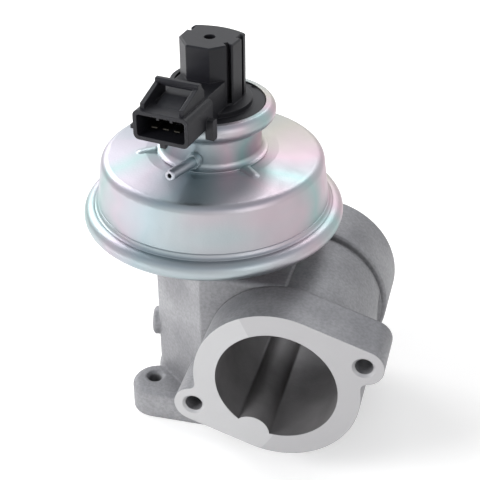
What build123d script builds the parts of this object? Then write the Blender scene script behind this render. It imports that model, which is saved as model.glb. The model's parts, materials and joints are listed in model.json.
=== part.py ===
from build123d import *
from math import atan2, cos, degrees, radians, sin, sqrt
import os

# Vacuum exhaust gas valve on a cast air duct. Lengths are in millimetres, +Z is up.
# The origin is the centre of the duct bore at the front flange face, and -Y points out of that face.
# The valve axis is vertical through (VX, VY).

# Cast duct
BORE_R = 22.0
REAR_BORE_R = 26.0
REAR_BORE_Y = 64.0
FLANGE_R = 30.0
FLANGE_T = 18.5
BARREL_R = 28.4
GROOVE_R = 27.2
GROOVE_Y = 56.4
SPIGOT_Y = 58.1
DUCT_LENGTH = 82.3
BOLT_PCD = 67.0
BOLT_TILT = 24.7
BOLT_R = 3.2
LUG_R = 7.1
RIB_R = 6.8
RIB_AT = 24.1
RIB_ANGLE = 248.0

# Column that carries the valve
VX = -35.0
VY = 48.6
COLUMN_R = 22.4
LAND_R = 19.2
WALL_AT = 20.2
WALL_BLEND = 6.0
COLUMN_TOP = 30.5
HEAD_TOP = 28.8
HEAD_FRONT = -29.3
HEAD_ROUND = 1.8
WALL_ANGLE = 228.0
FOOT_BOTTOM = -42.0
FOOT_TOP = -30.0
FOOT_LUG_R = 9.5
FOOT_PCD = 54.0
FOOT_HOLE_R = 2.5
FOOT_ANGLE = 220.0
INLET_R = 11.0
CHAMBER_R = 14.5
CHAMBER_TOP = 12.0
PORT_R = 8.5
PORT_Z = -3.5

# Seat, poppet and stem
SEAT_R = 13.5
SEAT_BORE_R = 10.0
SEAT_T = 4.0
SEAT_TOP = -12.0
POPPET_R = 12.0
STEM_R = 3.5
THREAD_R = 3.0
STEM_GAP = 0.03
BUSH_R = 6.5
BUSH_BOTTOM = 10.0
BUSH_TOP = 27.5
SEAL_R = 9.0
SEAL_TOP = 29.5

# Vacuum can
SHEET = 1.0
GASKET_T = 0.8
SCREW_AT = 13.5
SCREW_R = 2.1
SCREW_HOLE_R = 2.3
SCREW_HEAD_R = 3.6
SCREW_HEAD_T = 3.0
SCREW_ANGLES = (30.0, 150.0, 270.0)
RIM_AT = 44.2
RIM_R = 3.5
RIM_Z = 41.3
CAN_TOP = 65.2
SHOULDER_Z = 63.7
DIAPHRAGM_T = 1.2
PLATE_Z = 38.0
PLATE_T = 1.5
CUP_T = 1.3
NUT_T = 4.5
NUT_FLATS = 10.0
SPRING_AT = 20.0
SPRING_WIRE_R = 1.2
SPRING_TURNS = 4.5
SWAGE_R = 3.2
SWAGE_COUNT = 3
SWAGE_ANGLE = 80.0

# Neck, nipple and sensor
NECK_R = 17.8
NECK_WALL = 1.2
CUP_R = NECK_R + 5.1
CUP_FLOOR = 78.9
FLANGE_BOTTOM = 80.6
FLANGE_TOP = 83.1
NIPPLE_R = 1.9
NIPPLE_BORE_R = 0.8
NIPPLE_ROOT_R = 2.3
COLLAR_R = 2.7
COLLAR_T = 2.4
NIPPLE_LENGTH = 17.4
NIPPLE_BASE_ANGLE = 267.0
NIPPLE_AZIMUTH = 256.0
NIPPLE_TILT = 7.0
NIPPLE_Z = 69.3
SENSOR_TURN = -10.3
TOWER_TOP = 107.6
SOCKET_FRONT = -37.5
SOCKET_REAR = -19.5
SOCKET_HALF = 10.2
SOCKET_BOTTOM = 84.4
SOCKET_HEIGHT = 10.6
SOCKET_TOP = SOCKET_BOTTOM + SOCKET_HEIGHT
LATCH_RISE = 6.6
SOCKET_WALL = 1.4
PIN_Z = 88.0
PIN_PITCH = 4.2
PLUNGER_R = 2.5
GUIDE_GAP = 0.04
ROOM_TOP = 103.4

# Where stacked pieces meet, worked out from the sizes above
GASKET_TOP = COLUMN_TOP + GASKET_T
FLOOR_TOP = GASKET_TOP + SHEET
RIM_BOTTOM = RIM_Z - RIM_R
EDGE_BOTTOM = RIM_BOTTOM + SHEET
EDGE_TOP = EDGE_BOTTOM + DIAPHRAGM_T
MEMBRANE_Z = PLATE_Z + PLATE_T
CUP_Z = MEMBRANE_Z + DIAPHRAGM_T
NUT_Z = CUP_Z + CUP_T
STEM_TOP = NUT_Z + NUT_T + 0.5
SEAT_BOTTOM = SEAT_TOP - SEAT_T


def around(angle, radius):
    return (radius * cos(radians(angle)), radius * sin(radians(angle)))


def on_valve(shape):
    return Pos(VX, VY, 0) * shape


def on_sensor(shape):
    return Pos(VX, VY, 0) * Rot(0, 0, SENSOR_TURN) * shape


def rod(radius, bottom, top, x=0.0, y=0.0):
    return Pos(x, y, (bottom + top) / 2) * Cylinder(radius, top - bottom)


def ring(outer, inner, bottom, top):
    return rod(outer, bottom, top) - rod(inner, bottom - 1, top + 1)


def block(x0, x1, y0, y1, z0, z1):
    return Pos((x0 + x1) / 2, (y0 + y1) / 2, (z0 + z1) / 2) * Box(x1 - x0, y1 - y0, z1 - z0)


def turned(points):
    # A solid of revolution about Z from a closed outline of radius and height pairs.
    face = make_face(Polyline([(r, 0, z) for r, z in points], close=True))
    return revolve(face, Axis.Z, 360)


def curve(*points):
    return ThreePointArc(*[(r, 0, z) for r, z in points])


def path(*points):
    return Polyline(*[(r, 0, z) for r, z in points])


def prism(points, bottom, top):
    face = make_face(Polyline([(x, y, bottom) for x, y in points], close=True))
    return extrude(face, top - bottom, dir=(0, 0, 1))


def across_duct(radius, y0, y1, x, z):
    return Pos(x, (y0 + y1) / 2, z) * Rot(90, 0, 0) * Cylinder(radius, y1 - y0)


# The front flange ring with two bolt lugs. One side of each lug runs tangent into the ring.
def front_flange():
    lug_at = BOLT_PCD / 2
    lean = degrees(atan2(sqrt(lug_at**2 - (FLANGE_R - LUG_R) ** 2), FLANGE_R - LUG_R))
    outline = Circle(FLANGE_R)
    for k in range(2):
        turn = BOLT_TILT + 180 * k
        lug = around(turn, lug_at)
        side = turn + lean
        rim = around(side, FLANGE_R)
        far = (lug[0] + LUG_R * cos(radians(side)), lug[1] + LUG_R * sin(radians(side)))
        web = make_face(Polyline((0, 0), lug, far, rim, close=True))
        outline = outline + web + Pos(lug[0], lug[1]) * Circle(LUG_R)
    inner = [v for v in outline.vertices() if abs(sqrt(v.X**2 + v.Y**2) - FLANGE_R) < 0.01]
    corners = []
    for v in inner:
        for k in range(2):
            turn = BOLT_TILT + 180 * k
            lug = around(turn, lug_at)
            if abs(sqrt((v.X - lug[0]) ** 2 + (v.Y - lug[1]) ** 2) - LUG_R) < 0.01:
                corners.append(v)
    outline = fillet(corners, 2.5)
    return extrude(Plane.XZ * outline, -FLANGE_T)


def duct_shell():
    barrel = across_duct(BARREL_R, FLANGE_T - 2, GROOVE_Y, 0, 0)
    neck = across_duct(GROOVE_R, GROOVE_Y - 2, SPIGOT_Y + 2, 0, 0)
    spigot = across_duct(FLANGE_R, SPIGOT_Y, DUCT_LENGTH, 0, 0)
    spigot = fillet(spigot.edges().filter_by(GeomType.CIRCLE).sort_by(Axis.Y)[-1], 1.6)
    spigot = chamfer(spigot.edges().filter_by(GeomType.CIRCLE).sort_by(Axis.Y)[0], 0.5)
    return barrel + neck + spigot


def duct_bore():
    step = REAR_BORE_Y - 4
    bore = across_duct(BORE_R, -1, step, 0, 0)
    widening = Pos(0, step + 2, 0) * Rot(90, 0, 0) * Cone(REAR_BORE_R, BORE_R, 4)
    return bore + widening + across_duct(REAR_BORE_R, REAR_BORE_Y, DUCT_LENGTH + 1, 0, 0)


# The column's head and its slanted front-left wall, which leaves the round column and runs to the duct.
def column_head():
    out = (cos(radians(WALL_ANGLE)), sin(radians(WALL_ANGLE)))
    along = (-out[1], out[0])
    half = sqrt(COLUMN_R**2 - WALL_AT**2)
    start = (WALL_AT * out[0] - half * along[0], WALL_AT * out[1] - half * along[1])
    run = (HEAD_FRONT - WALL_AT * out[1]) / along[1]
    corner = (WALL_AT * out[0] + run * along[0], HEAD_FRONT)
    centre = (out[0] * (WALL_AT + 10), out[1] * (WALL_AT + 10))
    beyond = Pos(centre[0], centre[1]) * Rot(0, 0, WALL_ANGLE) * Rectangle(20, 80)
    round_part = Circle(COLUMN_R) - beyond
    slab = make_face(
        Polyline((0, 0), start, corner, (-VX, HEAD_FRONT), (-VX, 12), (0, COLUMN_R - 1), close=True)
    )
    outline = round_part + slab
    edge = [v for v in outline.vertices() if abs(v.X - start[0]) < 0.01 and abs(v.Y - start[1]) < 0.01]
    outline = fillet(edge, WALL_BLEND)
    head = extrude(Pos(0, 0, 6) * outline, HEAD_TOP - 6)
    head = fillet(head.faces().sort_by(Axis.Z)[-1].edges(), HEAD_ROUND)
    side = make_face(Polyline((0, 0), start, corner, (7, HEAD_FRONT), (7, 0), close=True))
    low = round_part + side
    edge = [v for v in low.vertices() if abs(v.X - start[0]) < 0.01 and abs(v.Y - start[1]) < 0.01]
    low = fillet(edge, WALL_BLEND)
    return head + extrude(Pos(0, 0, FOOT_BOTTOM + 6) * low, HEAD_TOP - 6 - FOOT_BOTTOM - 6)


# The inlet flange under the column, with two bolt lugs on one diagonal.
def foot():
    near = around(FOOT_ANGLE, FOOT_PCD / 2)
    far = around(FOOT_ANGLE - 180, FOOT_PCD / 2)
    lug = (near[0] + 1.2, near[1] - 1.2)
    edge = lug[1] - FOOT_LUG_R
    outline = Circle(COLUMN_R + 0.8)
    for centre in (lug, far):
        turn = degrees(atan2(centre[1], centre[0]))
        strip = Rot(0, 0, turn) * Pos(10, 0) * Rectangle(20, 2 * FOOT_LUG_R)
        outline = outline + Pos(centre[0], centre[1]) * Circle(FOOT_LUG_R) + strip
    front = Polyline((lug[0], edge), (9, edge), (19, edge + 12), (19, 0), (0, 0), lug, close=True)
    outline = outline + make_face(front)
    plate = extrude(Pos(0, 0, FOOT_BOTTOM) * outline, FOOT_TOP - FOOT_BOTTOM)
    plate = fillet(plate.faces().sort_by(Axis.Z)[-1].edges(), 2.2)
    return chamfer(plate.faces().sort_by(Axis.Z)[0].edges(), 0.6)


# The gas comes up the inlet, through the seat into the chamber, then across the port into the duct.
# The round ways are turned so that their seams face away from the port.
def gas_ways():
    ways = rod(INLET_R, FOOT_BOTTOM - 1, SEAT_BOTTOM + 1) + rod(SEAT_R, SEAT_BOTTOM, SEAT_TOP + 1)
    ways = ways + rod(CHAMBER_R, SEAT_TOP, CHAMBER_TOP)
    port = Pos(13, 0, PORT_Z) * Rot(0, 90, 0) * Cylinder(PORT_R, 26)
    return on_valve(Rot(0, 0, 90) * ways + port)


# The duct half of the casting: flange, barrel and rear ring, with a round rib along the bore.
def duct_casting():
    body = duct_shell() + front_flange()
    body = body - block(27.4, 40, FLANGE_T + 0.5, GROOVE_Y - 1.5, -20, 20)
    rib = across_duct(RIB_R, 0, REAR_BORE_Y - 4, *around(RIB_ANGLE, RIB_AT))
    body = (body - duct_bore()) + (rib & across_duct(BORE_R + 1, -1, 90, 0, 0))
    for k in range(2):
        x, z = around(BOLT_TILT + 180 * k, BOLT_PCD / 2)
        body = body - across_duct(BOLT_R, -1, FLANGE_T + 1, x, z)
    return body - gas_ways()


# The valve half of the casting: the column, its head, side boss and foot, which meet the duct's outer wall.
def valve_housing():
    column = rod(LAND_R, FOOT_BOTTOM + 3, COLUMN_TOP)
    boss = Rot(0, 0, 190) * Pos(COLUMN_R - 4, 0, -12.5) * Rot(0, 90, 0) * Cylinder(5.5, 12.6)
    boss = chamfer(boss.faces().sort_by(Axis.X)[0].edges(), 0.8)
    body = on_valve(column_head() + column + boss + foot()) - duct_shell() - gas_ways()
    body = body - on_valve(rod(BUSH_R, CHAMBER_TOP - 1, BUSH_TOP))
    body = body - on_valve(rod(SEAL_R, BUSH_TOP, COLUMN_TOP + 1))
    for hole in screw_holes(SCREW_R + 0.1, COLUMN_TOP - 9, COLUMN_TOP + 1):
        body = body - on_valve(hole)
    x, y = around(FOOT_ANGLE, FOOT_PCD / 2)
    body = body - on_valve(rod(FOOT_HOLE_R, FOOT_BOTTOM - 1, FOOT_TOP + 1, x, y))
    body = body - on_valve(Pos(x, y, FOOT_TOP - 0.5) * Cone(FOOT_HOLE_R, FOOT_HOLE_R + 1, 1.0))
    x, y = around(FOOT_ANGLE - 180, FOOT_PCD / 2)
    body = body - on_valve(rod(FOOT_HOLE_R, FOOT_BOTTOM - 1, FOOT_TOP - 1, x, y))
    return body


def valve_seat():
    return on_valve(
        turned(
            [
                (SEAT_BORE_R + 0.8, SEAT_BOTTOM),
                (SEAT_R, SEAT_BOTTOM),
                (SEAT_R, SEAT_TOP),
                (SEAT_BORE_R + 0.6, SEAT_TOP),
                (SEAT_BORE_R, SEAT_TOP - 0.6),
                (SEAT_BORE_R, SEAT_BOTTOM + 0.8),
            ]
        )
    )


def poppet_head():
    return on_valve(
        turned(
            [
                (THREAD_R, SEAT_TOP),
                (POPPET_R - 0.6, SEAT_TOP),
                (POPPET_R, SEAT_TOP + 0.6),
                (POPPET_R, SEAT_TOP + 2.0),
                (POPPET_R - 0.6, SEAT_TOP + 2.6),
                (6.5, SEAT_TOP + 3.4),
                (5.0, SEAT_TOP + 5.0),
                (5.0, SEAT_TOP + 7.5),
                (THREAD_R, SEAT_TOP + 7.5),
            ]
        )
    )


def valve_stem():
    return on_valve(
        turned(
            [
                (0, SEAT_TOP - 1.2),
                (THREAD_R - 0.6, SEAT_TOP - 1.2),
                (THREAD_R, SEAT_TOP - 0.6),
                (THREAD_R, SEAT_TOP + 7.5),
                (STEM_R, SEAT_TOP + 7.5),
                (STEM_R, PLATE_Z),
                (THREAD_R, PLATE_Z),
                (THREAD_R, STEM_TOP - 0.6),
                (THREAD_R - 0.6, STEM_TOP),
                (0, STEM_TOP),
            ]
        )
    )


def stem_bush():
    inner = STEM_R + STEM_GAP
    return on_valve(
        turned(
            [
                (inner, BUSH_BOTTOM + 0.5),
                (inner + 0.5, BUSH_BOTTOM),
                (BUSH_R - 0.6, BUSH_BOTTOM),
                (BUSH_R, BUSH_BOTTOM + 0.6),
                (BUSH_R, BUSH_TOP),
                (inner + 0.5, BUSH_TOP),
                (inner, BUSH_TOP - 0.5),
            ]
        )
    )


def stem_seal():
    return on_valve(
        turned(
            [
                (SEAL_R, BUSH_TOP),
                (SEAL_R, SEAL_TOP),
                (5.6, SEAL_TOP),
                (4.6, SEAL_TOP - 0.8),
                (3.8, SEAL_TOP - 0.4),
                (3.8, SEAL_TOP - 1.1),
                (4.6, BUSH_TOP),
            ]
        )
    )


def seal_cap():
    return on_valve(ring(SEAL_R, 4.6, SEAL_TOP, COLUMN_TOP))


def screw_holes(radius, bottom, top):
    holes = []
    for angle in SCREW_ANGLES:
        x, y = around(angle, SCREW_AT)
        holes.append(rod(radius, bottom, top, x, y))
    return holes


def can_gasket():
    plate = ring(LAND_R - 0.6, SEAL_R, COLUMN_TOP, GASKET_TOP)
    for hole in screw_holes(SCREW_HOLE_R, COLUMN_TOP - 1, GASKET_TOP + 1):
        plate = plate - hole
    return on_valve(plate)


def can_screws():
    screws = []
    for angle in SCREW_ANGLES:
        x, y = around(angle, SCREW_AT)
        head = rod(SCREW_HEAD_R, FLOOR_TOP, FLOOR_TOP + SCREW_HEAD_T, x, y)
        head = chamfer(head.faces().sort_by(Axis.Z)[-1].edges(), 0.5)
        shank = rod(SCREW_R, COLUMN_TOP - 8.5, FLOOR_TOP + 0.5, x, y)
        socket = Pos(x, y, FLOOR_TOP + SCREW_HEAD_T - 1.5) * extrude(RegularPolygon(2.2, 6), 2.5)
        screws.append(on_valve(head + shank - socket))
    return Compound(children=screws)


# The lower can: a dished pan whose edge curls round the diaphragm and the upper can's flange.
def lower_can():
    inner_r = RIM_R - SHEET
    lip = radians(106)
    mid = radians(98)
    edge = [
        path((SEAL_R, GASKET_TOP), (29.5, GASKET_TOP), (38.4, RIM_BOTTOM), (RIM_AT, RIM_BOTTOM)),
        curve((RIM_AT, RIM_BOTTOM), (RIM_AT + RIM_R, RIM_Z), (RIM_AT, RIM_Z + RIM_R)),
        curve(
            (RIM_AT, RIM_Z + RIM_R),
            (RIM_AT + RIM_R * cos(mid), RIM_Z + RIM_R * sin(mid)),
            (RIM_AT + RIM_R * cos(lip), RIM_Z + RIM_R * sin(lip)),
        ),
        path(
            (RIM_AT + RIM_R * cos(lip), RIM_Z + RIM_R * sin(lip)),
            (RIM_AT + inner_r * cos(lip), RIM_Z + inner_r * sin(lip)),
        ),
        curve(
            (RIM_AT + inner_r * cos(lip), RIM_Z + inner_r * sin(lip)),
            (RIM_AT + inner_r * cos(mid), RIM_Z + inner_r * sin(mid)),
            (RIM_AT, RIM_Z + inner_r),
        ),
        curve((RIM_AT, RIM_Z + inner_r), (RIM_AT + inner_r, RIM_Z), (RIM_AT, EDGE_BOTTOM)),
        path(
            (RIM_AT, EDGE_BOTTOM),
            (38.0, EDGE_BOTTOM),
            (29.1, FLOOR_TOP),
            (SEAL_R, FLOOR_TOP),
            (SEAL_R, GASKET_TOP),
        ),
    ]
    pan = revolve(make_face(edge), Axis.Z, 360)
    for hole in screw_holes(SCREW_HOLE_R, GASKET_TOP - 1, FLOOR_TOP + 1):
        pan = pan - hole
    return on_valve(pan)


def diaphragm():
    low = MEMBRANE_Z
    top = CUP_Z
    edge = [
        path((THREAD_R, low), (27.2, low)),
        curve((27.2, low), (31.6, low + 3.0), (36.0, EDGE_BOTTOM)),
        path((36.0, EDGE_BOTTOM), (RIM_AT - 0.3, EDGE_BOTTOM), (RIM_AT - 0.3, EDGE_TOP), (36.8, EDGE_TOP)),
        curve((36.8, EDGE_TOP), (31.6, low + 4.2), (26.4, top)),
        path((26.4, top), (THREAD_R, top), (THREAD_R, low)),
    ]
    return on_valve(revolve(make_face(edge), Axis.Z, 360))


def diaphragm_lower_plate():
    return on_valve(
        turned(
            [
                (THREAD_R, PLATE_Z),
                (25.0, PLATE_Z),
                (27.0, PLATE_Z - 1.5),
                (27.6, PLATE_Z - 0.8),
                (26.0, MEMBRANE_Z),
                (THREAD_R, MEMBRANE_Z),
            ]
        )
    )


def diaphragm_upper_plate():
    return on_valve(
        turned(
            [
                (THREAD_R, CUP_Z),
                (24.0, CUP_Z),
                (25.4, CUP_Z + 1.2),
                (25.4, CUP_Z + 4.0),
                (24.1, CUP_Z + 4.0),
                (24.1, CUP_Z + CUP_T + 0.8),
                (23.3, NUT_Z),
                (THREAD_R, NUT_Z),
            ]
        )
    )


def stem_nut():
    nut = extrude(Pos(0, 0, NUT_Z) * RegularPolygon(NUT_FLATS / sqrt(3), 6), NUT_T)
    low = NUT_Z - 1
    high = NUT_Z + 5
    tool = turned([(0, low), (5.0, low), (5.9, low + 1.5), (5.9, high - 1), (5.0, high), (0, high)])
    return on_valve((nut & tool) - rod(THREAD_R, NUT_Z - 1, NUT_Z + NUT_T + 1))


# A wire coil whose two ends are ground flat.
def coil(mean, wire, bottom, top, turns):
    height = top - bottom
    line = Helix(height / turns, height, mean, center=(0, 0, bottom))
    start = Plane(origin=line @ 0, z_dir=line % 0)
    body = sweep(start * RegularPolygon(wire, 8), path=line)
    body = body - block(-99, 99, -99, 99, bottom - 20, bottom + wire * 0.3)
    body = body - block(-99, 99, -99, 99, top - wire * 0.3, top + 20)
    return body


def return_spring():
    lift = SPRING_WIRE_R * 0.3
    return on_valve(coil(SPRING_AT, SPRING_WIRE_R, NUT_Z - lift, CAN_TOP - SHEET + lift, SPRING_TURNS))


# The upper can: a drawn cover with a conical top and three shallow pressed darts round the neck.
def upper_can():
    flat = NECK_R + 6.2
    mouth = NECK_R - 0.8
    under = CAN_TOP - SHEET
    edge = [
        path((RIM_AT + 1.4, EDGE_TOP), (RIM_AT + 1.4, EDGE_TOP + SHEET), (43.4, EDGE_TOP + SHEET)),
        curve((43.4, EDGE_TOP + SHEET), (42.7, EDGE_TOP + 1.9), (42.5, EDGE_TOP + 3.0)),
        path((42.5, EDGE_TOP + 3.0), (42.3, 46.5), (40.5, SHOULDER_Z - 2.8)),
        curve((40.5, SHOULDER_Z - 2.8), (39.4, SHOULDER_Z - 0.9), (37.0, SHOULDER_Z)),
        path((37.0, SHOULDER_Z), (flat, CAN_TOP), (mouth, CAN_TOP), (mouth, under), (flat, under)),
        path((flat, under), (36.8, SHOULDER_Z - 1.0)),
        curve((36.8, SHOULDER_Z - 1.0), (38.6, SHOULDER_Z - 1.6), (39.5, SHOULDER_Z - 3.0)),
        path((39.5, SHOULDER_Z - 3.0), (41.3, 46.4), (41.5, EDGE_TOP + 3.0), (41.4, EDGE_TOP)),
        path((41.4, EDGE_TOP), (RIM_AT + 1.4, EDGE_TOP)),
    ]
    cover = revolve(make_face(edge), Axis.Z, 360)
    clear = NECK_R + 2.3
    skin = CAN_TOP - 0.5
    above = turned([(clear, skin), (flat, skin), (36.0, SHOULDER_Z - 0.5), (36.0, 72), (clear, 72)])
    capsule = Cylinder(SWAGE_R, 5.0, rotation=(0, 90, 0))
    for end in (-2.5, 2.5):
        capsule = capsule + Pos(end, 0, 0) * Sphere(SWAGE_R)
    for k in range(SWAGE_COUNT):
        turn = SWAGE_ANGLE + 360 / SWAGE_COUNT * k
        place = Rot(0, 0, turn) * Pos(NECK_R + 5.0, 0, CAN_TOP + 0.8 - SWAGE_R)
        swage = place * Rot(0, 9, 0) * capsule
        cover = cover + (swage & above)
    return on_valve(cover)


def cup_shell():
    bore = NECK_R - NECK_WALL
    bead = CUP_R - 1.9
    middle = (CUP_FLOOR + FLANGE_TOP) / 2
    below = CUP_FLOOR - NECK_WALL
    edge = [
        path((bore, CAN_TOP), (NECK_R + 2.2, CAN_TOP), (NECK_R + 2.2, CAN_TOP + 0.5)),
        curve((NECK_R + 2.2, CAN_TOP + 0.5), (NECK_R + 0.6, CAN_TOP + 1.2), (NECK_R, CAN_TOP + 2.8)),
        path((NECK_R, CAN_TOP + 2.8), (NECK_R, below - 3.1)),
        curve((NECK_R, below - 3.1), (NECK_R + 0.6, below - 1.0), (bead - 0.8, below)),
        path((bead - 0.8, below), (bead, below)),
        curve((bead, below), (CUP_R, middle), (bead, FLANGE_TOP + 1.0)),
        path((bead, FLANGE_TOP + 1.0), (CUP_R - 3.5, FLANGE_TOP + 1.0)),
        path((CUP_R - 3.5, FLANGE_TOP + 1.0), (CUP_R - 3.5, FLANGE_TOP), (bead - 0.1, FLANGE_TOP)),
        curve((bead - 0.1, FLANGE_TOP), (CUP_R - 1.1, middle), (bead - 0.2, CUP_FLOOR)),
        path((bead - 0.2, CUP_FLOOR), (NECK_R + 0.2, CUP_FLOOR), (bore, CUP_FLOOR - 2.0), (bore, CAN_TOP)),
    ]
    return revolve(make_face(edge), Axis.Z, 360)


def sensor_cup():
    return on_valve(cup_shell() - nipple_shape(NIPPLE_ROOT_R, -2.0, COLLAR_T))


def nipple_shape(radius, start, end):
    # A rod along the nipple's own axis, from start to end, counted from the neck's surface.
    x, y = around(NIPPLE_BASE_ANGLE, NECK_R)
    base = Pos(x, y, NIPPLE_Z) * Rot(0, 0, NIPPLE_AZIMUTH) * Rot(0, 90 - NIPPLE_TILT, 0)
    return base * Pos(0, 0, (start + end) / 2) * Cylinder(radius, end - start)


def vacuum_nipple():
    tube = nipple_shape(NIPPLE_R, COLLAR_T, NIPPLE_LENGTH)
    rim = tube.edges().filter_by(GeomType.CIRCLE).sort_by(Axis.Y)[0]
    tube = chamfer(rim, 0.3) + nipple_shape(NIPPLE_ROOT_R, -2.0, COLLAR_T)
    return on_valve(tube - nipple_shape(NIPPLE_BORE_R, -3.0, NIPPLE_LENGTH + 1))


def nipple_collar():
    collar = nipple_shape(COLLAR_R, 0, COLLAR_T) - nipple_shape(NIPPLE_ROOT_R, -3.0, COLLAR_T + 1)
    return on_valve(collar - rod(NECK_R - 0.5, 60, 74.6) - cup_shell())


def sensor_o_ring():
    return on_valve(Pos(0, 0, CUP_FLOOR + 0.85) * Torus(CUP_R - 3.7, 0.85))


def sensor_base():
    plate = turned(
        [
            (PLUNGER_R + GUIDE_GAP, 69.0),
            (4.6, 69.0),
            (5.2, 69.6),
            (5.2, 76.5),
            (7.0, 78.0),
            (NECK_R - 1.5, 78.0),
            (NECK_R - 1.5, FLANGE_BOTTOM),
            (PLUNGER_R + GUIDE_GAP, FLANGE_BOTTOM),
        ]
    )
    return on_sensor(plate)


def tower_outline():
    right = [(10.2, -3.1), (10.45, 3.2), (8.9, 3.2), (8.9, 5.8), (10.0, 5.8), (9.7, 8.0)]
    line = Polyline((-4.4, -9.7), (4.4, -9.7), *right)
    left = Polyline(*[(-x, y) for x, y in reversed(right)], (-4.4, -9.7))
    back = ThreePointArc((9.7, 8.0), (0, 10.1), (-9.7, 8.0))
    return make_face([line, back, left])


# The sensor's plastic case: a clamped disc, a tall tower and a side connector with a latch.
def sensor_body():
    pad = FLANGE_TOP + 0.5
    case = rod(CUP_R - 2.6, FLANGE_BOTTOM, FLANGE_TOP) + rod(CUP_R - 4.0, FLANGE_TOP, pad)
    case = case + rod(14.5, FLANGE_TOP, FLANGE_TOP + 2.3)
    notch = Rot(0, 0, 60) * block(CUP_R - 5.0, CUP_R - 3.6, -1.2, 1.2, FLANGE_TOP, pad + 1)
    case = case - notch
    tower = extrude(Pos(0, 0, pad) * tower_outline(), TOWER_TOP - pad)
    tower = chamfer(tower.faces().sort_by(Axis.Z)[-1].edges(), 0.5)
    tower = tower - Pos(9.4, -4.5, 0) * Rot(0, 0, 48) * block(-0.85, 0.85, -1.2, 3, pad + 2.5, TOWER_TOP + 1)
    case = case + tower
    wrap = ring(14.3, 12.7, pad, 92.0)
    wedge = [(0, 0), around(95, 40), around(150, 40), around(200, 40), around(248, 40)]
    case = case + (wrap & prism(wedge, pad - 5, 110))
    case = case + shroud() + latch()
    case = case - rod(2.05, TOWER_TOP - 2.0, TOWER_TOP + 1)
    case = case - block(-6.4, 6.4, -6.2, 6.6, FLANGE_BOTTOM - 1, ROOM_TOP)
    for k in range(-1, 2):
        case = case - pin(k)
    return on_sensor(case)


def shroud():
    x = SOCKET_HALF
    outer = block(-x, x, SOCKET_FRONT, SOCKET_REAR, SOCKET_BOTTOM, SOCKET_TOP)
    outer = fillet(outer.edges().filter_by(Axis.Y), (SOCKET_TOP - SOCKET_BOTTOM) * 0.19)
    inner_x = x - SOCKET_WALL
    inner_low = SOCKET_BOTTOM + SOCKET_WALL
    inner_top = SOCKET_TOP - SOCKET_WALL
    hollow = block(-inner_x, inner_x, SOCKET_FRONT - 1, SOCKET_REAR - 5.5, inner_low, inner_top)
    hollow = fillet(hollow.edges().filter_by(Axis.Y), 1.0)
    case = block(1.8 - x, x - 1.8, SOCKET_REAR - 1, -6.0, SOCKET_BOTTOM, SOCKET_TOP)
    case = case + outer - hollow
    for at in (-0.8, 4.1):
        key = block(at - 0.5, at + 0.5, SOCKET_FRONT, SOCKET_FRONT + 11, inner_top - 0.8, inner_top + 0.3)
        case = case + key
    case = case + block(-x - 1.2, 0.4 - x, SOCKET_FRONT + 0.4, SOCKET_FRONT + 2.2, 87.8, 89.2)
    case = case + block(-0.6, 1.4, SOCKET_FRONT + 0.3, SOCKET_FRONT + 2.0, SOCKET_BOTTOM - 1.7, inner_low)
    for side in (-1, 1):
        leg = block(side * 11.15 - 1.45, side * 11.15 + 1.45, -24.4, -21.3, 81.6, 89.0)
        case = case + fillet(leg.edges().filter_by(Axis.X), 0.6)
    return case


# Two sloping rails carry a cross bar, under which a ramp holds the plug's catch.
def latch():
    foot_z = SOCKET_TOP - 0.6
    bar_z = SOCKET_TOP + LATCH_RISE
    case = block(-8.0, 8.0, -25.3, -22.9, bar_z - 2.6, bar_z)
    case = fillet(case.edges().filter_by(Axis.X), 0.8)
    for side in (-1, 1):
        x0 = side * 7.2 - 0.8
        rail = make_face(
            Polyline(
                (x0, SOCKET_FRONT + 1.5, foot_z),
                (x0, -21.0, foot_z),
                (x0, -21.0, bar_z - 3.6),
                (x0, -22.9, bar_z - 1.2),
                (x0, -25.3, bar_z - 1.2),
                (x0, SOCKET_FRONT + 1.5, bar_z - 4.6),
                close=True,
            )
        )
        case = case + extrude(rail, 1.6, dir=(1, 0, 0))
    ramp = make_face(
        Polyline(
            (-4.4, -34.0, foot_z),
            (-4.4, -21.5, foot_z),
            (-4.4, -21.5, bar_z - 3.9),
            (-4.4, -26.0, bar_z - 4.6),
            close=True,
        )
    )
    return case + extrude(ramp, 8.8, dir=(1, 0, 0))


def pin(k):
    x = PIN_PITCH * k
    return block(x - 1.1, x + 1.1, -34.0, -5.2, PIN_Z - 0.32, PIN_Z + 0.32)


def terminal_pins():
    pins = []
    for k in range(-1, 2):
        blade = pin(k)
        front = blade.faces().sort_by(Axis.Y)[0]
        pins.append(on_sensor(chamfer(front.edges(), 0.2)))
    return Compound(children=pins)


def resistor_card():
    return on_sensor(block(-6.0, 6.0, 5.4, 6.6, FLANGE_BOTTOM, 102.4))


def sensor_plunger():
    shaft = turned(
        [
            (0, STEM_TOP),
            (PLUNGER_R - 0.7, STEM_TOP),
            (PLUNGER_R, STEM_TOP + 0.7),
            (PLUNGER_R, 82.5),
            (4.0, 82.5),
            (4.0, 84.0),
            (1.7, 84.0),
            (1.7, 92.0),
            (1.3, 92.4),
            (0, 92.4),
        ]
    )
    return on_sensor(shaft)


def wiper():
    carrier = block(-2.6, 2.6, 3.2, 4.5, 81.5, 86.5) + block(-2.6, 2.6, 1.0, 4.5, 81.5, 82.5)
    for side in (-1, 1):
        finger = block(side * 1.5 - 0.5, side * 1.5 + 0.5, 4.4, 5.1, 85.0, 86.4)
        carrier = carrier + finger
    return on_sensor(carrier - rod(PLUNGER_R, 60, 82.6) - rod(4.0, 82.5, 90))


def plunger_spring():
    lift = 0.55 * 0.3
    return on_sensor(coil(2.9, 0.55, 84.0 - lift, ROOM_TOP + lift, 7))


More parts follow.
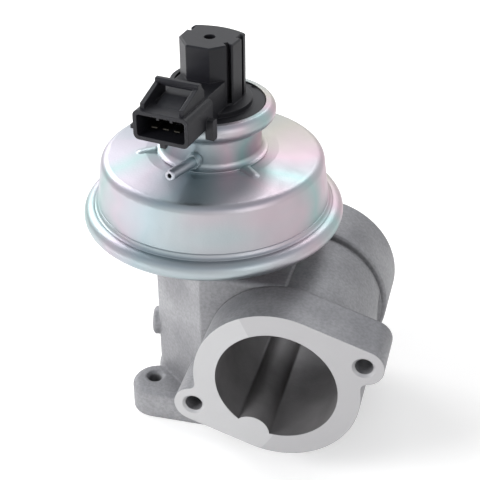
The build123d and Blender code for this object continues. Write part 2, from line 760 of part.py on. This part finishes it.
PARTS = {
    "duct_casting": duct_casting,
    "valve_housing": valve_housing,
    "valve_seat": valve_seat,
    "poppet_head": poppet_head,
    "valve_stem": valve_stem,
    "stem_bush": stem_bush,
    "stem_seal": stem_seal,
    "seal_cap": seal_cap,
    "can_gasket": can_gasket,
    "can_screws": can_screws,
    "lower_can": lower_can,
    "diaphragm": diaphragm,
    "diaphragm_lower_plate": diaphragm_lower_plate,
    "diaphragm_upper_plate": diaphragm_upper_plate,
    "stem_nut": stem_nut,
    "return_spring": return_spring,
    "upper_can": upper_can,
    "sensor_cup": sensor_cup,
    "vacuum_nipple": vacuum_nipple,
    "nipple_collar": nipple_collar,
    "sensor_o_ring": sensor_o_ring,
    "sensor_base": sensor_base,
    "sensor_body": sensor_body,
    "terminal_pins": terminal_pins,
    "resistor_card": resistor_card,
    "wiper": wiper,
    "sensor_plunger": sensor_plunger,
    "plunger_spring": plunger_spring,
}

os.makedirs("parts", exist_ok=True)
for name, make in PARTS.items():
    shape = make()
    export_step(shape, f"parts/{name}.step")
    print(name, round(shape.volume, 1), len(shape.solids()))
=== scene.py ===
import bmesh
import bpy
import json
from math import atan2, cos, hypot, pi, radians, sin
from mathutils import Matrix, Vector


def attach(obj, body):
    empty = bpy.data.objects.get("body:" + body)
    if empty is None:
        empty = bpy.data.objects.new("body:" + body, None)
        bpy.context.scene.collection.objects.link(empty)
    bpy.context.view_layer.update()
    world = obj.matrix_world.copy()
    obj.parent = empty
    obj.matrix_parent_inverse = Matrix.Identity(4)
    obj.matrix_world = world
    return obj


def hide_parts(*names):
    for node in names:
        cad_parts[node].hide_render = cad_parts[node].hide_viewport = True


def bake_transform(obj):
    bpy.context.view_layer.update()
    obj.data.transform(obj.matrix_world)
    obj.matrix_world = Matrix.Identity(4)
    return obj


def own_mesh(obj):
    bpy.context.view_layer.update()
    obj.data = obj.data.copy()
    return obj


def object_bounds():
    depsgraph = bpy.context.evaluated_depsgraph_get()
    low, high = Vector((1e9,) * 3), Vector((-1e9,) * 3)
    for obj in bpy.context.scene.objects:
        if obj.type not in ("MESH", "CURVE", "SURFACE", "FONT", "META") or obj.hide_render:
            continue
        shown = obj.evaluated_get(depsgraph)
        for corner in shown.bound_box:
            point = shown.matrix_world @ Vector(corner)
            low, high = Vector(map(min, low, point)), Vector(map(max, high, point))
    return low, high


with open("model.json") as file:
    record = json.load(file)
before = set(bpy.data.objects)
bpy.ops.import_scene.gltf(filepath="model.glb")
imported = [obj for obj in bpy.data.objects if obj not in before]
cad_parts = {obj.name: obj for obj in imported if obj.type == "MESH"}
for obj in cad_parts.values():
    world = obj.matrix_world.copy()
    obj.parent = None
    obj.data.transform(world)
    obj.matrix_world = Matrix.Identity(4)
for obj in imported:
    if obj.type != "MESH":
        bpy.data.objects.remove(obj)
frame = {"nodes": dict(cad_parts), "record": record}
NODES = frame["nodes"]
RECORD = frame["record"]
scene = bpy.context.scene


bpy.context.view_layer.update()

# Sizes and places that the part's record gives, in metres. The foot stands under the valve's axis.
MM = 0.001
MOUNTS = {mount["name"]: mount for mount in RECORD["mounts"]}
VALVE_X, VALVE_Y, FOOT_Z = MOUNTS["egr_inlet"]["pos_m"]

# The front flange's two holes lie on a slanted line through the duct's axis. Each one has a chamfer.
FLANGE_BOLTS = MOUNTS["manifold_bolts"]["dims"]
BOLT_CIRCLE_R = MM * FLANGE_BOLTS["pcd_mm"] / 2
BOLT_LINE_TILT = radians(24.7)
HOLE_X = BOLT_CIRCLE_R * cos(BOLT_LINE_TILT)
HOLE_Z = BOLT_CIRCLE_R * sin(BOLT_LINE_TILT)
HOLE_R = MM * FLANGE_BOLTS["hole_r_mm"]
CHAMFER_R = 0.0041
CHAMFER_DEPTH = CHAMFER_R - HOLE_R

# The sockets of a colour mix go by number, because a mix node has several sockets of the same name.
MIX_SHARE = 0
MIX_FIRST = 6
MIX_SECOND = 7
MIX_RESULT = 2

METAL = 1.0
NO_METAL = 0.0


def grey(level):
    return (level, level, level)


# A node tree that is built by calls. A source is a number, a colour or another node's output.
class Tree:
    def __init__(self, tree):
        self.tree = tree

    def add(self, kind, **values):
        node = self.tree.nodes.new(kind)
        for key, value in values.items():
            setattr(node, key, value)
        return node

    def feed(self, socket, source):
        if isinstance(source, bpy.types.NodeSocket):
            self.tree.links.new(source, socket)
        elif isinstance(source, tuple):
            socket.default_value = (*source, 1)
        else:
            socket.default_value = source

    def place(self, kind="Object"):
        node = self.add("ShaderNodeTexCoord")
        return node.outputs[kind]

    def split(self, vector):
        node = self.add("ShaderNodeSeparateXYZ")
        self.feed(node.inputs[0], vector)
        return node.outputs

    def maths(self, operation, first, second=None, clamp=False):
        node = self.add("ShaderNodeMath", operation=operation, use_clamp=clamp)
        self.feed(node.inputs[0], first)
        if second is not None:
            self.feed(node.inputs[1], second)
        return node.outputs[0]

    def distance(self, across, along, from_across=0.0, from_along=0.0):
        step_across = self.maths("SUBTRACT", across, from_across)
        step_along = self.maths("SUBTRACT", along, from_along)
        square_across = self.maths("MULTIPLY", step_across, step_across)
        square_along = self.maths("MULTIPLY", step_along, step_along)
        return self.maths("SQRT", self.maths("ADD", square_across, square_along))

    def noise(self, scale, detail, stretch=(1, 1, 1)):
        mapping = self.add("ShaderNodeMapping")
        mapping.inputs["Scale"].default_value = stretch
        self.feed(mapping.inputs["Vector"], self.place())
        node = self.add("ShaderNodeTexNoise")
        self.feed(node.inputs["Vector"], mapping.outputs[0])
        self.feed(node.inputs["Scale"], scale)
        self.feed(node.inputs["Detail"], detail)
        return node.outputs["Fac"]

    def ramp(self, source, stops):
        node = self.add("ShaderNodeValToRGB")
        row = node.color_ramp.elements
        while len(row) < len(stops):
            row.new(0.5)
        for element, (at, colour) in zip(row, stops):
            element.position = at
            element.color = (*colour, 1)
        self.feed(node.inputs[0], source)
        return node.outputs[0]

    def mix(self, share, first, second, blend="MIX"):
        node = self.add("ShaderNodeMix", data_type="RGBA", blend_type=blend)
        self.feed(node.inputs[MIX_SHARE], share)
        self.feed(node.inputs[MIX_FIRST], first)
        self.feed(node.inputs[MIX_SECOND], second)
        return node.outputs[MIX_RESULT]

    # One for a ray that shows a thing, directly, mirrored or seen through, and zero for one that only lights.
    def seen(self):
        node = self.add("ShaderNodeLightPath")
        either = self.maths("MAXIMUM", node.outputs["Is Camera Ray"], node.outputs["Is Glossy Ray"])
        return self.maths("MAXIMUM", either, node.outputs["Is Transmission Ray"])


# A material. Its pattern is worked out from the piece's own coordinates, which are the frame's.
class Finish(Tree):
    def __init__(self, name, metallic, specular=0.5):
        self.material = bpy.data.materials.new(name)
        self.material.use_nodes = True
        super().__init__(self.material.node_tree)
        self.shader = self.tree.nodes["Principled BSDF"]
        self.normal = None
        self.look("Metallic", metallic)
        self.look("Specular IOR Level", specular)

    def look(self, label, source):
        self.feed(self.shader.inputs[label], source)

    def bend(self, node):
        self.normal = node.outputs[0]
        self.look("Normal", self.normal)

    def soft_edges(self, radius):
        node = self.add("ShaderNodeBevel", samples=6)
        self.feed(node.inputs["Radius"], radius)
        self.bend(node)

    # A fine grain laid over the soft edges, which therefore come first.
    def bump(self, height, strength, distance):
        node = self.add("ShaderNodeBump")
        self.feed(node.inputs["Strength"], strength)
        self.feed(node.inputs["Distance"], distance)
        self.feed(node.inputs["Height"], height)
        self.feed(node.inputs["Normal"], self.normal)
        self.bend(node)


# Cast aluminium: grey and finely grained, paler and smoother on the machined faces, with a painted sheen on
# those and painted shade in the bore.
def cast_alloy():
    f = Finish("cast_alloy", metallic=0.45)
    x, y, z = f.split(f.place())
    grain = f.noise(scale=900, detail=2.0)
    cloud = f.noise(scale=45, detail=4.0)
    clouded = f.ramp(
        cloud,
        [
            (0.30, (0.215, 0.215, 0.228)),
            (0.55, (0.29, 0.29, 0.303)),
            (0.75, (0.35, 0.35, 0.364)),
        ],
    )
    specks = f.ramp(grain, [(0.35, grey(0.82)), (0.65, grey(1.0))])
    cast = f.mix(1.0, clouded, specks, "MULTIPLY")

    # The flange's face, the foot's underside and the holes' chamfers are machined.
    skin = 0.00012
    face = f.maths("LESS_THAN", y, skin)
    under = f.maths("LESS_THAN", z, FOOT_Z + skin)
    flat = f.maths("MAXIMUM", face, under)
    right_hole = f.distance(x, z, HOLE_X, HOLE_Z)
    left_hole = f.distance(x, z, -HOLE_X, -HOLE_Z)
    margin = 0.00005
    near_hole = f.maths("LESS_THAN", f.maths("MINIMUM", right_hole, left_hole), CHAMFER_R + margin)
    chamfer = f.maths("MULTIPLY", near_hole, f.maths("LESS_THAN", y, CHAMFER_DEPTH + margin))
    machined = f.maths("MAXIMUM", flat, chamfer)

    # Machined metal is painted a little darker in a sector, from a slanted line below to a radial one above,
    # and lighter elsewhere: a painted sheen.
    radius = f.distance(x, z)
    angle = f.maths("ARCTAN2", z, x)
    lean = 19.3
    sector_start = -1.18
    sector_end = 2.02
    slant = f.maths("ADD", angle, f.maths("MULTIPLY", radius, lean))
    past_start = f.maths("GREATER_THAN", slant, sector_start)
    before_end = f.maths("LESS_THAN", angle, sector_end)
    # The lit and shaded tones of the painted sheen.
    sheen_lit = (0.48, 0.48, 0.488)
    sheen_shaded = (0.42, 0.416, 0.426)
    machined_with_painted_sheen = f.mix(f.maths("MULTIPLY", past_start, before_end), sheen_lit, sheen_shaded)

    # The duct's inside is painted darker, as painted shade in the bore.
    bore_shade_radius = 0.0265
    bore_shade_from = 0.0002
    within = f.maths("LESS_THAN", radius, bore_shade_radius)
    inside = f.maths("MULTIPLY", within, f.maths("GREATER_THAN", y, bore_shade_from))
    painted_bore_shade = f.ramp(cloud, [(0.3, (0.12, 0.116, 0.119)), (0.7, (0.23, 0.224, 0.228))])
    f.look("Base Color", f.mix(inside, f.mix(machined, cast, machined_with_painted_sheen), painted_bore_shade))

    cast_rough = 0.52
    machined_rough = 0.42
    smoother = f.maths("MULTIPLY", flat, cast_rough - machined_rough)
    f.look("Roughness", f.maths("SUBTRACT", cast_rough, smoother))

    # Cast edges are well rounded. Those of the machined flange face stay crisp.
    crisp_depth = 0.002
    cast_edge = 0.0016
    crisp_edge = 0.0003
    crisp = f.maths("LESS_THAN", y, crisp_depth)
    f.soft_edges(f.maths("SUBTRACT", cast_edge, f.maths("MULTIPLY", crisp, cast_edge - crisp_edge)))
    f.bump(grain, strength=0.35, distance=0.00012)
    return f.material


# Zinc plate: satin, with soft teal, rose and straw bands that drift round the valve axis.
def plated_steel():
    f = Finish("plated_steel", metallic=METAL)
    bands = [
        (0.00, (0.45, 0.43, 0.48)),
        (0.07, (0.35, 0.45, 0.45)),
        (0.14, (0.46, 0.42, 0.47)),
        (0.21, (0.35, 0.42, 0.45)),
        (0.29, (0.40, 0.44, 0.46)),
        (0.36, (0.48, 0.41, 0.45)),
        (0.43, (0.33, 0.44, 0.44)),
        (0.50, (0.51, 0.40, 0.45)),
        (0.60, (0.45, 0.43, 0.39)),
        (0.80, (0.34, 0.42, 0.44)),
        (1.00, (0.45, 0.43, 0.48)),
    ]
    x, y, _ = f.split(f.place())
    east = f.maths("SUBTRACT", x, VALVE_X)
    north = f.maths("SUBTRACT", y, VALVE_Y)
    turns = f.maths("MULTIPLY", f.maths("ARCTAN2", north, east), 0.5 / pi)
    share_of_turn = f.maths("ADD", turns, 0.5)
    drift = 0.34
    sway = f.maths("SUBTRACT", f.noise(scale=20, detail=2.0, stretch=(1, 1, 1.8)), 0.5)
    band = f.maths("ADD", share_of_turn, f.maths("MULTIPLY", sway, drift), clamp=True)
    f.look("Base Color", f.ramp(band, bands))
    f.look("Roughness", f.ramp(f.noise(scale=120, detail=3.0), [(0.3, grey(0.36)), (0.7, grey(0.45))]))
    f.soft_edges(0.0004)
    f.bump(f.noise(scale=1300, detail=2.0), strength=0.45, distance=0.00010)
    return f.material


# One even material, with a faint clouding of its own colour.
def plain(name, base, roughness, metallic=NO_METAL, edge=0.0003, grain=0.0, specular=0.5):
    f = Finish(name, metallic, specular)
    darker = tuple(0.88 * share for share in base)
    paler = tuple(1.1 * share for share in base)
    f.look("Base Color", f.ramp(f.noise(scale=220, detail=3.0), [(0.3, darker), (0.7, paler)]))
    f.look("Roughness", roughness)
    f.soft_edges(edge)
    if grain:
        f.bump(f.noise(scale=2600, detail=2.0), strength=grain, distance=0.00006)
    return f.material


PLAIN_LOOKS = {
    "black_plastic": {
        "base": (0.011, 0.011, 0.014),
        "roughness": 0.48,
        "edge": 0.0004,
        "grain": 0.25,
        "specular": 0.32,
    },
    "seat_steel": {"base": (0.50, 0.50, 0.51), "roughness": 0.35, "metallic": METAL},
    "valve_steel": {"base": (0.42, 0.41, 0.40), "roughness": 0.38, "metallic": METAL},
    "bush_bronze": {"base": (0.58, 0.42, 0.22), "roughness": 0.40, "metallic": METAL},
    "seal_rubber": {"base": grey(0.030), "roughness": 0.60},
    "gasket_sheet": {"base": (0.10, 0.10, 0.11), "roughness": 0.75},
    "screw_steel": {"base": (0.60, 0.60, 0.61), "roughness": 0.30, "metallic": METAL},
    "diaphragm_rubber": {"base": grey(0.040), "roughness": 0.65},
    "plate_steel": {"base": (0.62, 0.62, 0.63), "roughness": 0.34, "metallic": METAL},
    "spring_steel": {"base": (0.35, 0.35, 0.37), "roughness": 0.32, "metallic": METAL},
    "guide_plastic": {"base": (0.70, 0.67, 0.58), "roughness": 0.45},
    # The pins' metal is painted nearly black, as painted shade inside the connector's socket.
    "pin_metal": {"base": (0.07, 0.065, 0.055), "roughness": 0.50, "metallic": METAL, "edge": 0.0001},
    "card_resin": {"base": (0.03, 0.10, 0.04), "roughness": 0.35},
    "wiper_metal": {"base": (0.72, 0.56, 0.30), "roughness": 0.28, "metallic": METAL, "edge": 0.0001},
}
MATERIALS = {"cast_alloy": cast_alloy(), "plated_steel": plated_steel()}
for name, look in PLAIN_LOOKS.items():
    MATERIALS[name] = plain(name, **look)


def linked(name, data):
    made = bpy.data.objects.new(name, data)
    scene.collection.objects.link(made)
    return made


CREASE_RADIANS = 0.55


# Gives a piece its material and smooth shading, which is split at edges that turn by more than a crease.
def dress(piece, slot):
    piece.data.materials.clear()
    piece.data.materials.append(MATERIALS[slot])
    for face in piece.data.polygons:
        face.use_smooth = True
    crease = piece.modifiers.new("crease", "EDGE_SPLIT")
    crease.split_angle = CREASE_RADIANS
    crease.use_edge_sharp = False


slots = {row["node"]: row["material_slot"] for row in RECORD["subparts"]}
for name, node in NODES.items():
    dress(node, slots[name])


def mesh_of(work, name):
    mesh = bpy.data.meshes.new(name)
    work.to_mesh(mesh)
    work.free()
    return mesh


# A cone as wide as a chamfer, whose slope runs on a little beyond it at both ends.
def cone_at(x, z):
    reach = 0.0005
    work = bmesh.new()
    bmesh.ops.create_cone(
        work,
        cap_ends=True,
        segments=64,
        radius1=CHAMFER_R + reach,
        radius2=HOLE_R - reach,
        depth=CHAMFER_DEPTH + 2 * reach,
    )
    cone = linked("cutter", mesh_of(work, "cutter"))
    cone.matrix_world = Matrix.Translation((x, CHAMFER_DEPTH / 2, z)) @ Matrix.Rotation(-pi / 2, 4, "X")
    return cone


# The front flange's two holes are chamfered: a copy of the casting, cut by a cone at each, stands for it.
def countersink(node_name, centres):
    same_point = 1e-7
    work = bmesh.new()
    work.from_mesh(NODES[node_name].data)
    bmesh.ops.remove_doubles(work, verts=work.verts, dist=same_point)
    piece = linked(node_name + "_cut", mesh_of(work, node_name + "_cut"))
    cutters = [cone_at(x, z) for x, z in centres]
    for cutter in cutters:
        cut = piece.modifiers.new("cut", "BOOLEAN")
        cut.operation = "DIFFERENCE"
        cut.solver = "EXACT"
        cut.object = cutter
    bpy.context.view_layer.update()
    whole = piece.evaluated_get(bpy.context.evaluated_depsgraph_get())
    result = bpy.data.meshes.new_from_object(whole)
    piece.modifiers.clear()
    piece.data = result
    for cutter in cutters:
        bpy.data.objects.remove(cutter)
    return piece


front_casting = countersink("duct_casting", [(HOLE_X, HOLE_Z), (-HOLE_X, -HOLE_Z)])
dress(front_casting, "cast_alloy")
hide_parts("duct_casting")
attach(front_casting, "housing")


# Both springs shorten as the valve lifts. Here each one is a copy of its piece in spring steel, hung on the
# housing, and doesn't move.
def sprung(node_name):
    piece = linked(node_name + "_wire", NODES[node_name].data.copy())
    dress(piece, "spring_steel")
    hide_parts(node_name)
    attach(piece, "housing")
    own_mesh(piece)


sprung("return_spring")
sprung("plunger_spring")


# A point at a radius and a height in mm, at an angle round the valve's axis.
def round_valve(r, turn, z):
    return (VALVE_X + MM * r * cos(turn), VALVE_Y + MM * r * sin(turn), MM * z)


# Turns a closed profile of (radius, height) points in mm round the valve's axis. A full turn joins up with
# itself, and a shorter one is closed by a flat end at either side, which isn't shaded smooth.
def turned(name, slot, profile, steps, first=0.0, last=2 * pi):
    full = last - first >= 2 * pi
    stations = steps if full else steps + 1
    rows = len(profile)
    verts = []
    for k in range(stations):
        turn = first + (last - first) * k / steps
        verts += [round_valve(r, turn, z) for r, z in profile]
    faces = []
    for k in range(steps):
        here = k * rows
        after = (k + 1) % stations * rows
        for j in range(rows):
            up = (j + 1) % rows
            faces.append((here + j, after + j, after + up, here + up))
    if not full:
        faces.append(tuple(range(rows)))
        faces.append(tuple(steps * rows + j for j in reversed(range(rows))))
    mesh = bpy.data.meshes.new(name)
    mesh.from_pydata(verts, [], faces)
    for face in mesh.polygons:
        face.use_smooth = len(face.vertices) == 4
    mesh.materials.append(MATERIALS[slot])
    return linked(name, mesh)


# Points on the circle through three given ones, from the first to the last.
def arc(start, through, end, count):
    ax, ay = start
    bx, by = through
    cx, cy = end
    span = 2 * (ax * (by - cy) + bx * (cy - ay) + cx * (ay - by))
    a_square = ax * ax + ay * ay
    b_square = bx * bx + by * by
    c_square = cx * cx + cy * cy
    centre_x = (a_square * (by - cy) + b_square * (cy - ay) + c_square * (ay - by)) / span
    centre_y = (a_square * (cx - bx) + b_square * (ax - cx) + c_square * (bx - ax)) / span
    radius = hypot(ax - centre_x, ay - centre_y)
    first = atan2(ay - centre_y, ax - centre_x)
    last = atan2(cy - centre_y, cx - centre_x)
    turns = [first + (last - first) * k / count for k in range(count + 1)]
    return [(centre_x + radius * cos(turn), centre_y + radius * sin(turn)) for turn in turns]


# The diaphragm's section in mm: flat between the two plates, a roll that arches up, then flat in the rim. The
# roll is wider above than below, which keeps it about as thick as the rest.
THICK = 1.2
WIDER = 0.8
HOLE_EDGE = 3.0
RIM_EDGE = 43.9
ROLL_IN = 27.2
ROLL_CREST = 31.6
ROLL_OUT = 36.0
PLATE_Z = 39.5
CREST_Z = 42.5
RIM_Z = 38.8
ARC_STEPS = 12
roll_under = [(ROLL_IN, PLATE_Z), (ROLL_CREST, CREST_Z), (ROLL_OUT, RIM_Z)]
roll_top = [
    (ROLL_OUT + WIDER, RIM_Z + THICK),
    (ROLL_CREST, CREST_Z + THICK),
    (ROLL_IN - WIDER, PLATE_Z + THICK),
]
membrane = [(HOLE_EDGE, PLATE_Z)]
membrane += arc(*roll_under, ARC_STEPS)
membrane += [(RIM_EDGE, RIM_Z), (RIM_EDGE, RIM_Z + THICK)]
membrane += arc(*roll_top, ARC_STEPS)
membrane += [(HOLE_EDGE, PLATE_Z + THICK)]

# The diaphragm is made of equal wedges, in place of the part's own piece. Its middle rises with the valve,
# and its edge is clamped in the rim, but the wedges here stay still.
WEDGES = 12
WEDGE_STEPS = 8
for k in range(WEDGES):
    first = 2 * pi * k / WEDGES
    last = 2 * pi * (k + 1) / WEDGES
    piece = turned(f"membrane_{k + 1}", "diaphragm_rubber", membrane, WEDGE_STEPS, first, last)
    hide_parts("diaphragm")
    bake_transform(piece)

# The upper can's foot flares out and runs into the curled rim, so no gap shows between them. The section, in
# mm, has a root inside the wall and the rim, and a hollow curve between them.
SEAM_STEPS = 240
seam = [
    (42.20, 44.0),
    (43.30, 44.0),
    (43.80, 44.60),
    (43.80, 44.78),
    (43.35, 44.88),
    (42.95, 45.12),
    (42.66, 45.50),
    (42.46, 46.00),
    (42.36, 46.60),
    (42.20, 46.60),
]
rim_seam = turned("rim_seam", "plated_steel", seam, SEAM_STEPS)
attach(rim_seam, "housing")

# A pale floor just under the foot. It glows a little where it is seen, and so runs on into a white backdrop.
FLOOR_WIDTH = 12
FLOOR_DROP = 0.0005
FLOOR_GLOW = 0.24
low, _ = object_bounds()
bpy.ops.mesh.primitive_plane_add(size=FLOOR_WIDTH, location=(0, 0, low.z - FLOOR_DROP))
floor = bpy.context.object
floor.name = "floor"
paint = Finish("floor_paint", metallic=NO_METAL, specular=0.1)
paint.look("Base Color", grey(0.93))
paint.look("Roughness", 0.9)
glow = paint.add("ShaderNodeEmission")
paint.feed(glow.inputs["Strength"], paint.maths("MULTIPLY", paint.seen(), FLOOR_GLOW))
painted = paint.add("ShaderNodeAddShader")
paint.feed(painted.inputs[0], paint.shader.outputs[0])
paint.feed(painted.inputs[1], glow.outputs[0])
paint.feed(paint.tree.nodes["Material Output"].inputs["Surface"], painted.outputs[0])
floor.data.materials.append(paint.material)

# The studio's light is brightest half way up. What the lens and the metal see of it is a white horizon under
# a dimmer ceiling. Each row is how far up a ray points, as its Z, and the colour there.
STUDIO_LIGHT = 0.62
light_tones = [
    (0.0, (0.34, 0.34, 0.35)),
    (0.25, (0.50, 0.50, 0.51)),
    (0.62, grey(1.0)),
    (0.97, grey(0.62)),
]
backdrop_tones = [
    (0.0, grey(1.0)),
    (0.50, (0.96, 0.97, 1.0)),
    (0.72, (0.52, 0.58, 0.66)),
    (1.0, (0.50, 0.51, 0.53)),
]
world = bpy.data.worlds.new("studio")
scene.world = world
world.use_nodes = True
sky = Tree(world.node_tree)
height = sky.split(sky.place("Generated"))["Z"]
light = sky.tree.nodes["Background"]
sky.feed(light.inputs["Color"], sky.ramp(height, light_tones))
sky.feed(light.inputs["Strength"], STUDIO_LIGHT)
backdrop = sky.add("ShaderNodeBackground")
sky.feed(backdrop.inputs["Color"], sky.ramp(height, backdrop_tones))
sky.feed(backdrop.inputs["Strength"], 1.0)
chosen = sky.add("ShaderNodeMixShader")
sky.feed(chosen.inputs[0], sky.seen())
sky.feed(chosen.inputs[1], light.outputs[0])
sky.feed(chosen.inputs[2], backdrop.outputs[0])
sky.feed(sky.tree.nodes["World Output"].inputs["Surface"], chosen.outputs[0])


PART_MIDDLE = Vector((-0.03, 0.04, 0.03))


# A flat lamp that faces the part's middle.
def lamp(name, place, wide, high, power):
    data = bpy.data.lights.new(name, "AREA")
    data.shape = "RECTANGLE"
    data.size = wide
    data.size_y = high
    data.energy = power
    made = linked(name, data)
    made.location = place
    made.rotation_mode = "QUATERNION"
    made.rotation_quaternion = (PART_MIDDLE - Vector(place)).to_track_quat("-Z", "Y")
    return made


# The key lamp isn't mirrored in the metal.
key = lamp("key", place=(-0.68, -0.42, 0.30), wide=0.45, high=0.45, power=8.2)
key.visible_glossy = False
lamp("fill", place=(0.70, -0.50, 0.35), wide=0.5, high=0.5, power=1.0)
lamp("back", place=(0.10, 0.70, 0.70), wide=0.6, high=0.4, power=2.2)
lamp("back_left", place=(-0.62, 0.50, 0.52), wide=0.5, high=0.4, power=3.0)

# The camera stands where the photograph was taken from, by its perspective.
camera_data = bpy.data.cameras.new("camera")
camera_data.lens = 90
camera_data.sensor_width = 36
camera_data.clip_start = 0.01
camera_data.clip_end = 20
camera = linked("camera", camera_data)
eye = Vector((0.07252, -0.31885, 0.26721))
forward = Vector((-0.21720, 0.81719, -0.53388)).normalized()
up = Vector((-0.12585, 0.51893, 0.84550)).normalized()
right = forward.cross(up).normalized()
facing = Matrix((right, up, -forward)).transposed().to_4x4()
camera.matrix_world = Matrix.Translation(eye) @ facing
scene.camera = camera
scene.view_settings.view_transform = "Standard"
